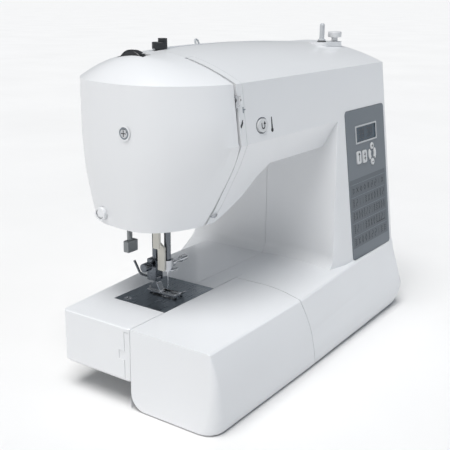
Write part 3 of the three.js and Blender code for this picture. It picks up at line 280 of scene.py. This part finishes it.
def refined(node):
    """A smooth, edge-rounded piece made from a CAD node's own shape, standing for that node."""
    source = frame["nodes"][node]
    mesh = source.data.copy()
    work = bmesh.new()
    work.from_mesh(mesh)
    bmesh.ops.remove_doubles(work, verts=work.verts, dist=SAME_POINT)
    bmesh.ops.dissolve_limit(work, angle_limit=math.radians(FLAT), verts=work.verts,
                             edges=work.edges, delimit={"NORMAL"})
    work.to_mesh(mesh)
    work.free()
    if "custom_normal" in mesh.attributes:
        mesh.attributes.remove(mesh.attributes["custom_normal"])
    finish = OWN_FINISH.get(node, slots[node])
    made = new_object(node + "_skin", mesh, finish, body_of[node], node)
    rounding = made.modifiers.new("rounding", "BEVEL")
    rounding.width = EDGE_ROUNDING * MM
    rounding.segments = 2
    rounding.limit_method = "ANGLE"
    rounding.angle_limit = math.radians(HARD_EDGE)
    rounding.use_clamp_overlap = True
    rounding.harden_normals = False
    apply(made)
    smooth_by_angle(made.data, HARD_EDGE)
    weight_normals(made)


def weight_normals(made):
    """Lets the large faces lead the shading, with the hard edges kept."""
    weighted = made.modifiers.new("weighting", "WEIGHTED_NORMAL")
    weighted.keep_sharp = True
    weighted.weight = 75
    apply(made)


# ------------------------------------------------------------------ stage
FLOOR_HALF = 60.0  # metres, so that the floor's edge lies beyond sight


def make_stage():
    """A pale floor, and a dim sky with a bright band along the horizon."""
    mesh = bpy.data.meshes.new("floor")
    work = bmesh.new()
    bmesh.ops.create_grid(work, x_segments=24, y_segments=24, size=FLOOR_HALF)
    work.to_mesh(mesh)
    work.free()
    floor = bpy.data.objects.new("floor", mesh)
    bpy.context.collection.objects.link(floor)
    n = Nodes("floor")
    tone = n.mix(n.spread(n.noise(3.0), 0, 1), (0.81, 0.805, 0.80, 1), (0.84, 0.835, 0.83, 1))
    n.put(n.shader.inputs["Base Color"], tone)
    n.shader.inputs["Roughness"].default_value = 0.9
    n.shader.inputs["Specular IOR Level"].default_value = 0.0
    mesh.materials.append(n.material)
    world = bpy.data.worlds.new("studio")
    bpy.context.scene.world = world
    world.use_nodes = True
    nodes, links = world.node_tree.nodes, world.node_tree.links
    way = nodes.new("ShaderNodeSeparateXYZ")
    links.new(nodes.new("ShaderNodeTexCoord").outputs["Generated"], way.inputs[0])
    low_band = nodes.new("ShaderNodeMapRange")
    links.new(way.outputs["Z"], low_band.inputs["Value"])
    for socket, value in (("From Min", 0.01), ("From Max", 0.09), ("To Min", 1.0), ("To Max", 0.2)):
        low_band.inputs[socket].default_value = value
    links.new(low_band.outputs["Result"], nodes["Background"].inputs["Strength"])
    nodes["Background"].inputs["Color"].default_value = (0.88, 0.94, 1.0, 1)
    bpy.context.scene.view_settings.view_transform = "Standard"


def soft_light(name, place, strength, spread, colour=(1, 1, 1)):
    """A broad light from far away in the direction of a place, spread over some degrees."""
    data = bpy.data.lights.new(name, "SUN")
    data.angle = math.radians(spread)
    data.energy = strength
    data.color = colour
    lamp = bpy.data.objects.new(name, data)
    lamp.location = place
    lamp.rotation_euler = (-Vector(place)).to_track_quat("-Z", "Y").to_euler()
    bpy.context.collection.objects.link(lamp)


# ------------------------------------------------------------------ camera, stage and lights
make_camera()
make_stage()
soft_light("overhead", (-0.45, -0.08, 1.5), 2.9, 40)
soft_light("left", (-1.5, 0.1, 0.7), 0.42, 50, (1.0, 0.97, 0.94))
soft_light("front", (0.3, -1.5, 0.8), 0.1, 60, (0.2, 0.55, 1.0))


# ------------------------------------------------------------------ drawn and turned pieces
PANEL_LOW = 72  # lower edge of the control panel
FACE_TOP_Y = -45  # the leaning front where it ends at the top
FACE_TOP_Z = 268
PANEL_FACE = -0.5  # the panel's face, against the covers' own
DISPLAY_FACE = -0.2
KEY_FACE = -1.6
REVERSE_FACE = -1.4


def on_face(x, z, depth):
    """A place on the pillar's and arm's leaning front, with a depth into the machine."""
    climb = (z - PANEL_LOW) / math.cos(LEAN)
    foot = FACE_TOP_Y - (FACE_TOP_Z - PANEL_LOW) * math.tan(LEAN)
    y = foot + depth * math.cos(LEAN) + climb * math.sin(LEAN)
    return at(x, y, PANEL_LOW + climb * math.cos(LEAN) - depth * math.sin(LEAN))


def slabs(name, outlines, place, low, high, finish, body):
    """Thin closed plates, one for each outline, between two depths of a surface."""
    work = bmesh.new()
    for outline in outlines:
        layers = [[work.verts.new(place(u, v, depth)) for u, v in outline]
                  for depth in (low, high)]
        work.faces.new(layers[0])
        work.faces.new(layers[1][::-1])
        count = len(outline)
        for i in range(count):
            j = (i + 1) % count
            work.faces.new((layers[0][j], layers[0][i], layers[1][i], layers[1][j]))
    bmesh.ops.recalc_face_normals(work, faces=work.faces)
    mesh = bpy.data.meshes.new(name)
    work.to_mesh(mesh)
    work.free()
    return new_object(name, mesh, finish, body)


def ink(name, outlines, face, finish, body, thick=0.15):
    """Printing on the leaning front, raised a hair's breadth."""
    return slabs(name, outlines, on_face, face - thick, face + 0.1, finish, body)


def rect(x0, x1, z0, z1):
    return [(x0, z0), (x1, z0), (x1, z1), (x0, z1)]


def line(points, width, closed=False):
    """The outline of a stroke of one width through some points, mitred at its bends."""
    if closed:
        points = points + points[:1]
    places = [Vector(p) for p in points]
    sides = []
    for i, p in enumerate(places):
        before = places[i] - places[i - 1] if i else places[1] - places[0]
        after = places[i + 1] - p if i + 1 < len(places) else before
        if closed and i in (0, len(places) - 1):
            before, after = places[-1] - places[-2], places[1] - places[0]
        way = (before.normalized() + after.normalized()).normalized()
        across = Vector((-way.y, way.x))
        half = width / 2 / max(0.5, way.dot(after.normalized()))
        sides.append((p + across * half, p - across * half))
    return [tuple(a) for a, _ in sides] + [tuple(b) for _, b in reversed(sides)]


def arc(x, z, radius, start, end, steps=14, squash=1.0):
    """Points along an arc between two angles in degrees; squash flattens it."""
    points = []
    for i in range(steps + 1):
        turn = math.radians(start + (end - start) * i / steps)
        points.append((x + radius * math.cos(turn), z + squash * radius * math.sin(turn)))
    return points


def turned_mesh(name, profile, place, axis, finish, body, sides, ripple=None, replaced=()):
    """A lathe-turned piece: (radius, height) pairs about an axis; ripple(radius, turn) -> radius."""
    along = Vector(axis).normalized()
    first = along.orthogonal().normalized()
    second = along.cross(first)
    work = bmesh.new()
    rings = []
    for radius, height in profile:
        middle = Vector(place) + along * height * MM
        if radius < 1e-6:
            rings.append([work.verts.new(middle)] * sides)
            continue
        ring = []
        for i in range(sides):
            turn = 2 * math.pi * i / sides
            reach = (ripple(radius, turn) if ripple else radius) * MM
            ring.append(work.verts.new(
                middle + first * reach * math.cos(turn) + second * reach * math.sin(turn)))
        rings.append(ring)
    for lower, upper in zip(rings, rings[1:]):
        for i in range(sides):
            j = (i + 1) % sides
            corners = list(dict.fromkeys((lower[i], lower[j], upper[j], upper[i])))
            if len(corners) > 2:
                work.faces.new(corners)
    bmesh.ops.recalc_face_normals(work, faces=work.faces)
    mesh = bpy.data.meshes.new(name)
    work.to_mesh(mesh)
    work.free()
    made = new_object(name, mesh, finish, body, *replaced)
    smooth_by_angle(mesh, 32)
    return made


def wire(name, points, radius, finish, body):
    """A bent wire through places given in machine mm, turned into a mesh."""
    curve = bpy.data.curves.new(name, "CURVE")
    curve.dimensions = "3D"
    curve.bevel_depth = radius * MM
    curve.bevel_resolution = 3
    curve.use_fill_caps = True
    curve.resolution_u = 6
    spline = curve.splines.new("BEZIER")
    spline.bezier_points.add(len(points) - 1)
    for knot, place in zip(spline.bezier_points, points):
        knot.co = at(*place)
        knot.handle_left_type = knot.handle_right_type = "AUTO"
    carrier = bpy.data.objects.new(name + "_path", curve)
    bpy.context.collection.objects.link(carrier)
    graph = bpy.context.evaluated_depsgraph_get()
    mesh = bpy.data.meshes.new_from_object(carrier.evaluated_get(graph))
    bpy.data.objects.remove(carrier)
    made = new_object(name, mesh, finish, body)
    smooth_by_angle(mesh, 40)
    return made


# ------------------------------------------------------------------ panel printing
CHART = (271.5, 356.5, 84.0, 155.0)  # the printed field's left, right, bottom and top
INK = 0.05  # mm, a line of print above the surface under it
STROKE = 0.8  # mm


def stitch(kind, x, z, w, h):
    """One small stitch sign about a place: plain geometric patterns."""
    if kind == 0:
        steps = [(x + (0.5 * w if i % 2 else -0.5 * w), z - h / 2 + h * i / 6)
                 for i in range(7)]
        return [line(steps, STROKE)]
    if kind == 1:
        return [rect(x - 0.3, x + 0.3, z - h / 2 + i * h / 4, z - h / 2 + i * h / 4 + h / 6)
                for i in range(4)]
    if kind == 2:
        return [line(arc(x, z + h / 4, w / 2, -90, 90), STROKE),
                line(arc(x, z - h / 4, w / 2, 90, 270), STROKE)]
    if kind == 3:
        bars = [rect(x - w / 2, x + w / 2, z - h / 2 + i * h / 4, z - h / 2 + i * h / 4 + 0.5)
                for i in range(5)]
        return bars + [rect(x - 0.3, x + 0.3, z - h / 2, z + h / 2)]
    if kind == 4:
        corners = [(x, z + h / 2), (x + w / 2, z), (x, z - h / 2), (x - w / 2, z)]
        return [line(corners, STROKE, True)]
    return [line([(x - w / 2, z - h / 2), (x + w / 2, z + h / 2)], STROKE),
            line([(x - w / 2, z + h / 2), (x + w / 2, z - h / 2)], STROKE)]


def print_chart():
    """The field of stitch signs on the panel, in five ruled rows."""
    x0, x1 = CHART[:2]
    field_thick = 0.06
    ink("chart_field", [rect(*CHART)], PANEL_FACE, "print_and_shade_grey", "machine", field_thick)
    rows = [  # middle of the row, number of signs, their height
        (143.5, 9, 5), (130.5, 11, 7), (117.0, 13, 8), (103.5, 12, 8), (90.0, 10, 7),
    ]
    signs, rules = [], []
    for r, (z, count, height) in enumerate(rows):
        pitch = (x1 - x0 - 6) / count
        for i in range(count):
            kind = (i * 5 + r * 3 + i // 3) % 6
            signs += stitch(kind, x0 + 3 + pitch * (i + 0.5), z, pitch * 0.5, height)
        rules.append(rect(x0 + 1.5, x1 - 1.5, z + 6.2, z + 6.5))
    signs.append(rect(x1 - 27, x1 - 5, 99.5, 100.4))
    field = PANEL_FACE - field_thick
    ink("chart_signs", signs, field, "print_and_shade_dark", "machine", INK)
    ink("chart_rules", rules, field, "print_and_shade_light", "machine", INK)


def print_display():
    """The frame round the display, and its digits' segments."""
    x0, x1, z0, z1 = 290.2, 339.8, 189.8, 208.2
    wide = 1.5
    ring = [rect(x0, x1, z0, z0 + wide), rect(x0, x1, z1 - wide, z1),
            rect(x0, x0 + wide, z0 + wide, z1 - wide), rect(x1 - wide, x1, z0 + wide, z1 - wide)]
    ink("display_frame", ring, PANEL_FACE, "light_plastic", "machine", 0.7)
    low, top, stroke = 194.9, 203, 0.7
    bars = (top, 198.6, low - stroke)  # lower edges
    digits = []
    for i, x in enumerate((299, 306, 318, 325)):
        digits += [rect(x, x + 4, z, z + stroke) for z in bars]
        digits.append(rect(x + 3.6, x + 4.3, low, top))
        if i % 2:
            digits.append(rect(x - 0.3, x + 0.4, low, top))
    ink("display_segments", digits, DISPLAY_FACE, "print_and_shade_dark", "machine", INK)


def print_keys():
    """The signs on the keys, a grey ring of painted shade in the reverse button's gap, and the needle
    mark beside it.
    """
    up = [[(292.6, 178.5), (296.6, 178.5), (294.6, 181)], rect(294.2, 295.0, 172, 178.5)]
    ink("mode_sign", up, KEY_FACE, "print_and_shade_dark", "mode_key")
    sliders = [rect(306, 310, 177, 177.8), rect(306, 310, 173, 173.8), rect(307.6, 308.4, 171, 180)]
    ink("adjust_sign", sliders, KEY_FACE, "print_and_shade_dark", "adjust_key")
    plus = [rect(324.9, 328.3, 183.2, 184.0), rect(326.2, 327.0, 182.0, 183.2),
            rect(326.2, 327.0, 184.0, 185.2)]
    ink("up_sign", plus, KEY_FACE, "print_and_shade_dark", "up_key")
    ink("down_sign", [rect(324.9, 328.3, 166.4, 167.2)], KEY_FACE, "print_and_shade_dark", "down_key")
    x, z = 117.4, 231
    hook = arc(x, z - 0.4, 2.2, 180, 360, 10)
    shaft = [(x - 2.2, z + 2.4)] + hook + [(x + 2.2, z + 1.2)]
    head = [(x + 0.5, z + 1.0), (x + 3.9, z + 1.0), (x + 2.2, z + 3.4)]
    ink("reverse_sign", [line(shaft, 0.9), head], REVERSE_FACE, "print_and_shade_dark", "reverse_key")
    # A grey ring of painted shade in the gap round the reverse button.
    sides = 32
    ring = arc(x, z, 9.1, 0, 360, sides, 0.76)
    inner = arc(x, z, 8.5, 0, 360, sides, 0.74)
    ring[-1], inner[-1] = ring[0], inner[0]
    quads = [[ring[i], ring[i + 1], inner[i + 1], inner[i]] for i in range(sides)]
    ink("reverse_gap_shade", quads, 0.0, "print_and_shade_grey", "machine", 0.12)
    mark = [[(132.0, 226), (134.2, 226), (133.7, 236.5), (132.6, 236.5)],
            arc(133.1, 225.4, 1.9, 0, 360, 12)[:-1]]
    ink("needle_mark", mark, 0.0, "print_and_shade_dark", "machine")


# ------------------------------------------------------------------ small fittings
def thread_details():
    """Guides along the thread channel, an opening drawn as a dark ellipse of painted shade, and the
    wire guide at the slot's end.
    """
    # The opening: a flat dark ellipse of painted shade.
    opening_shade = arc(86.6, 255, 3.0, 0, 360, 16, 0.45)[:-1]
    ink("channel_opening_shade", [opening_shade], 0.0, "print_and_shade_dark", "machine", 0.1)
    catch = [rect(90.4, 91.6, 244.2, 249.2), rect(91.6, 94.2, 246.4, 247.4)]
    ink("channel_catch", catch, 0.0, "print_and_shade_light", "machine", 0.25)
    hook = [(85.8, 232.6), (88.6, 236.0), (88.8, 239.0), (87.2, 236.4), (85.4, 234.4)]
    ink("channel_hook", [hook], 0.0, "print_and_shade_dark", "machine", 0.5)
    wire("slot_guide", [(84.8, -19.5, 152.8), (87.5, -21.2, 152.2), (90.6, -21.6, 152.6),
                        (93.2, -20.4, 153.6)], 0.75, "polished_steel", "machine")
    wire("top_guide", [(184.5, 70.5, 289.8), (185, 72, 293.2), (187.5, 73.5, 294.0),
                       (191.5, 74, 293.2), (193, 73, 289.4)], 1.0, "light_plastic", "machine")


def dial_details():
    """Finger ribs and scale ticks round the tension dial."""
    x0, x1, centre_y, centre_z, radius = 55.5, 64.5, 41.5, 277.9, 14.2
    rib_count, rib_half = 60, 0.011 * math.pi
    ribs = []
    for i in range(rib_count):
        turn = 2 * math.pi * i / rib_count
        ribs.append(rect(turn - rib_half, turn + rib_half, x0 + 0.9, x0 + 3.0))

    def round_dial(turn, x, height):
        reach = radius + height
        return at(x, centre_y + reach * math.cos(turn), centre_z + reach * math.sin(turn))
    slabs("dial_ribs", ribs, round_dial, -0.1, 0.35, "dark_plastic", "tension")
    tick_count, tick_half = 20, 0.02
    ticks = []
    for i in range(tick_count):
        turn = 2 * math.pi * i / tick_count
        long = 2.6 if i % 2 else 1.4
        ticks.append(rect(turn - tick_half, turn + tick_half, x1 - 1.2 - long, x1 - 1.3))
    slabs("dial_marks", ticks, round_dial, -0.05, 0.08, "print_white", "tension")


def fluted(count, depth, sharpness, beyond):
    """Finger grooves round a turned piece, on the rings whose radius is beyond a value."""
    def reach(radius, turn):
        if radius <= beyond:
            return radius
        return radius - depth * max(0.0, math.cos(count * turn)) ** sharpness
    return reach


def knob_grip():
    """The pressure knob's fluted side."""
    profile = [(0, 0), (6.62, 0), (6.62, 5.2), (6.2, 5.55), (0, 5.55)]
    turned_mesh("knob_grip", profile, at(92, 40, 291.55), (0, 0, 1), "dark_plastic", "pressure",
                96, fluted(24, 0.25, 1, 6.5))


def face_screw():
    """The face cover's screw in its round recess, at the left end of the head."""
    place = at(21.9, 20.5, 229.5)
    lip = [(6.2, -0.4), (6.2, 0.15), (5.4, 0.25), (5.0, 0.0), (5.0, -0.4)]
    turned_mesh("screw_lip", lip + lip[:1], place, (-1, 0, 0), "white_plastic", "machine", 40)
    # The recess's floor: a grey disc of painted shade, sunk under the lip.
    shade_disc = [(0, -0.2), (5.0, -0.2), (5.0, -0.35), (0, -0.35)]
    turned_mesh("screw_recess_shade", shade_disc, place, (-1, 0, 0), "print_and_shade_light", "machine", 40)
    head = [(0, -0.3), (3.7, -0.3), (3.7, 0.1), (3.2, 0.5), (0, 0.65)]
    turned_mesh("screw_head", head, place, (-1, 0, 0), "polished_steel", "machine", 32)

    def on_head(u, v, height):
        return place + Vector((-height * MM, u * MM, v * MM))
    # The cross recess: dark slabs of painted shade standing on the head.
    reach, half = 2.6, 0.35
    cross = [rect(-reach, reach, -half, half), rect(-half, half, -reach, reach)]
    slabs("screw_cross_shade", cross, on_head, 0.3, 0.66, "print_and_shade_dark", "machine")


def plate_lines():
    """Seam guide lines on the needle plate, and its two screws."""
    bed_top, wide = 72.8, 0.45

    def on_plate(x, y, height):
        return at(x, y, bed_top + height)
    guides = [line([(95.5 + 3.2 * i, 3.0), (95.5 + 3.2 * i, 55.0)], wide) for i in range(6)]
    guides += [line([(60.0, 12.0 + 4.0 * i), (66.0, 12.0 + 4.0 * i)], wide) for i in range(4)]
    slabs("plate_lines", guides, on_plate, -0.1, 0.03, "polished_steel", "machine")
    for i, (x, y) in enumerate(((52.0, 47.5), (88.5, 49.5))):
        place = at(x, y, bed_top)
        profile = [(0, -0.1), (3.4, -0.1), (3.4, 0.1), (2.9, 0.3), (0, 0.36)]
        turned_mesh(f"plate_screw_{i + 1}", profile, place, (0, 0, 1), "polished_steel", "machine", 28)
        # Each screw's slot: a dark stroke of painted shade standing on the head.
        slot = [line([(x - 2.6, y - 1.2), (x + 2.6, y + 1.2)], 0.7)]
        slabs(f"plate_screw_slot_shade_{i + 1}", slot, on_plate, 0.2, 0.38, "print_and_shade_dark", "machine")


def wheel_details():
    """The handwheel, with finger grooves round its rim."""
    profile = [(0, 0.4), (14, 0.4), (14, 3.2), (26, 3.2), (33, 3.1), (36, 6), (36, 14),
               (32, 19), (24, 19), (20, 16), (0, 16)]
    turned_mesh("handwheel_rim", profile, at(373, 24, 232), (1, 0, 0), "white_plastic", "drive",
                144, fluted(18, 1.1, 4, 35), ("handwheel",))


# ------------------------------------------------------------------ pieces
for node in frame["nodes"]:
    if node != "handwheel":
        refined(node)
print_chart()
print_display()
print_keys()
thread_details()
dial_details()
knob_grip()
face_screw()
plate_lines()
wheel_details()
